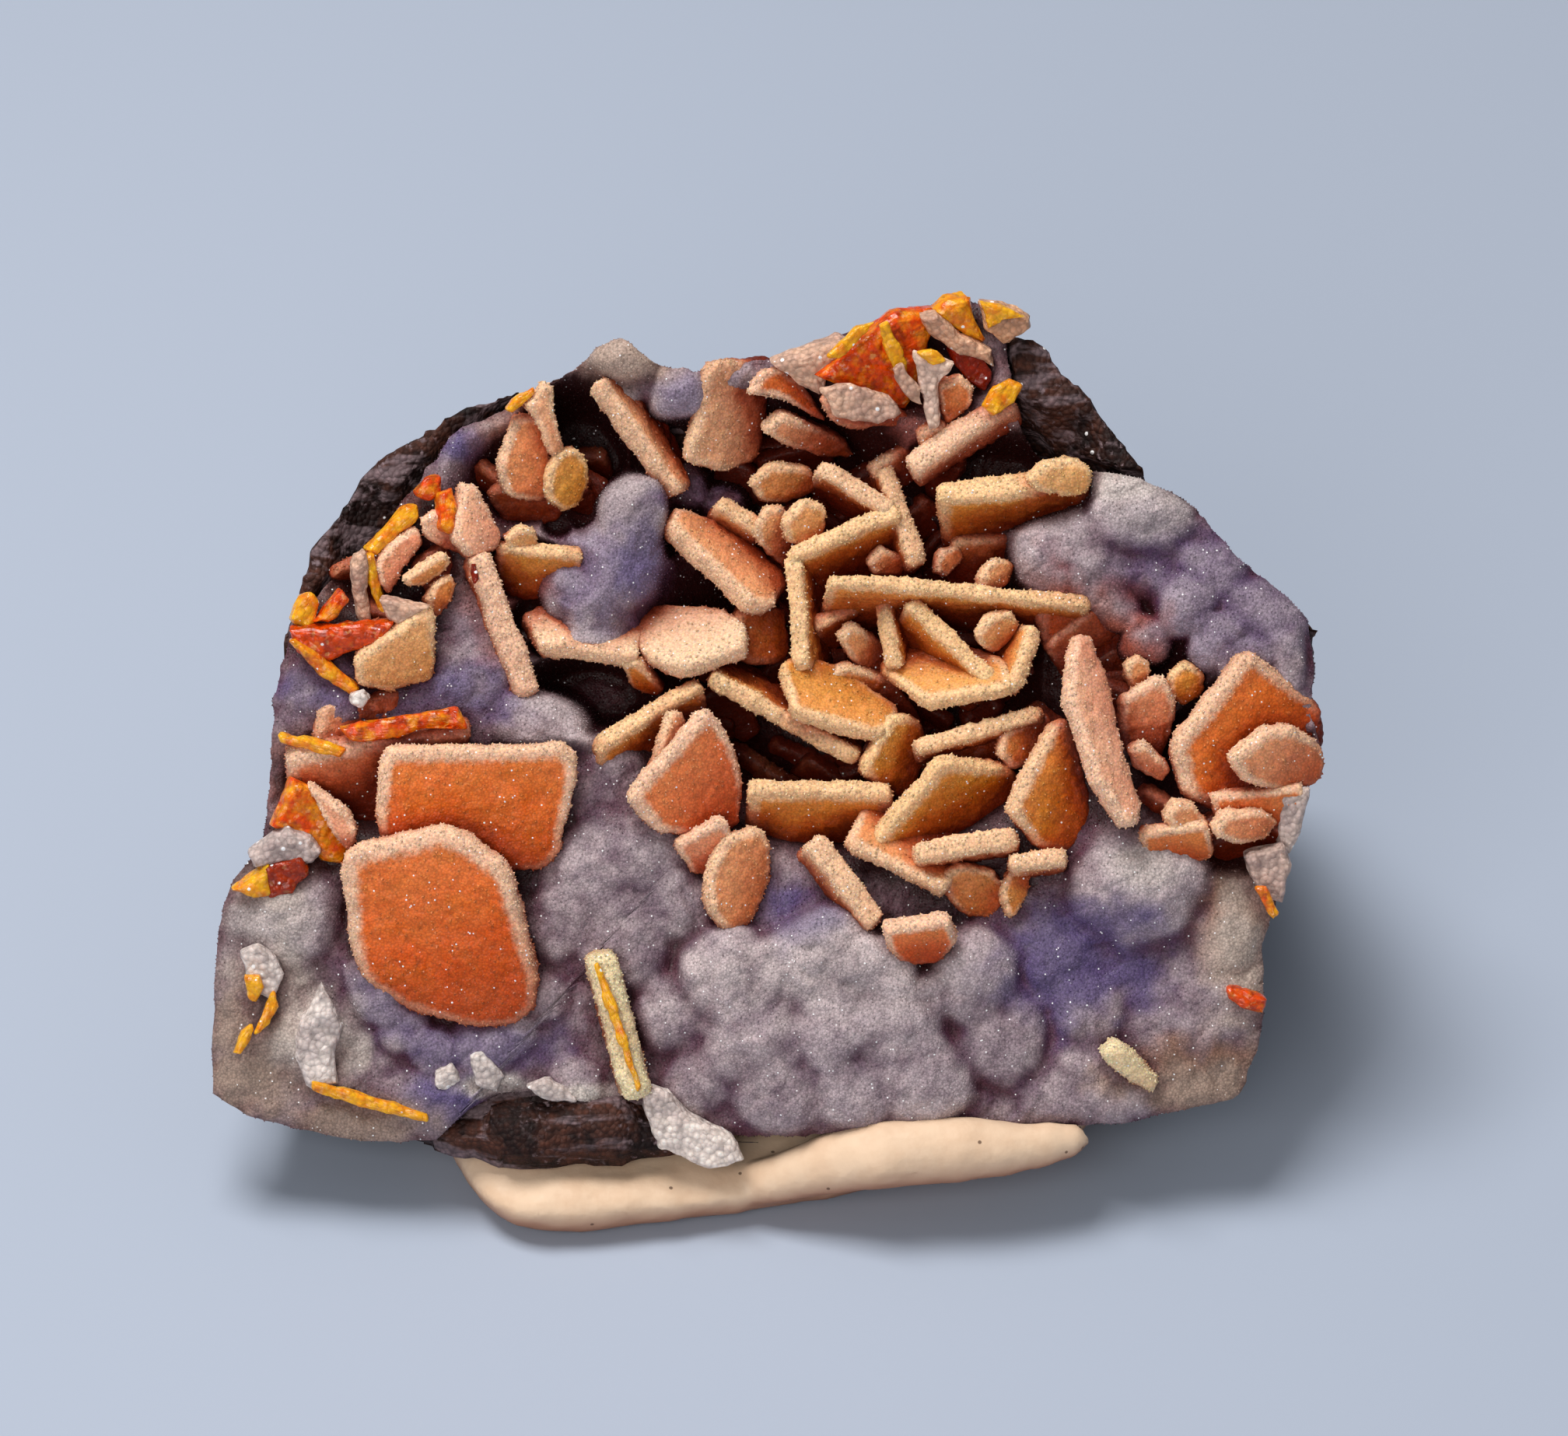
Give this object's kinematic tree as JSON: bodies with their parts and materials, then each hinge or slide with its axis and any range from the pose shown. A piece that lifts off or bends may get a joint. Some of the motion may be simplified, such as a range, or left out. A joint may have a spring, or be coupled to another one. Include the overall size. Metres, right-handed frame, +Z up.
{
  "type": "mineral specimen",
  "caption": "Mineral specimen: sugary square wulfenite plates in a hollow of lavender-grey chalcedony on dark host rock, standing on a cake of cream mounting putty.",
  "frame": {"origin": "middle of the putty cake's flat underside, on the surface that the specimen stands on", "axes": "+Z up; +X to the viewer's right; -Y towards the viewer, the side that the sloping front with the crystals faces"},
  "size_m": [0.06, 0.0371, 0.0399],
  "materials": {
    "host_rock": "rough dark brown rock",
    "drusy_chalcedony": "lavender-grey botryoidal crust with fine sparkling quartz",
    "wulfenite": "orange to olive-gold crystal with a pale sugary quartz coat",
    "putty": "smooth cream putty"
  },
  "bodies": {
    "root": {"host_rock": "host_rock", "chalcedony_crust": "drusy_chalcedony", "mounting_putty": "putty", "amber_sliver": "wulfenite", "brick_tab": "wulfenite", "bright_blade": "wulfenite", "cast_block": "wulfenite", "centre_nest": "wulfenite", "cored_bar": "wulfenite", "corner_bud": "wulfenite", "crossed_bar": "wulfenite", "curved_blade": "wulfenite", "elbow_plate": "wulfenite", "front_square": "wulfenite", "gold_plate": "wulfenite", "leaf_blade": "wulfenite", "leaning_square": "wulfenite", "left_shelf": "wulfenite", "left_square": "wulfenite", "lower_lip": "wulfenite", "middle_shelf": "wulfenite", "orange_bar": "wulfenite", "orange_cap": "wulfenite", "orange_square": "wulfenite", "orange_stripe": "wulfenite", "oval_tab": "wulfenite", "pink_ridge": "wulfenite", "quartz_shard": "wulfenite", "rim_shard": "wulfenite", "rim_wedge": "wulfenite", "rosy_plate": "wulfenite", "shelf_square": "wulfenite", "short_blade": "wulfenite", "slanting_bar": "wulfenite", "small_blade": "wulfenite", "square_row": "wulfenite", "straw_wedge": "wulfenite", "tall_blade": "wulfenite", "yellow_bar": "wulfenite", "yellow_sliver": "wulfenite"}
  },
  "joints": []
}
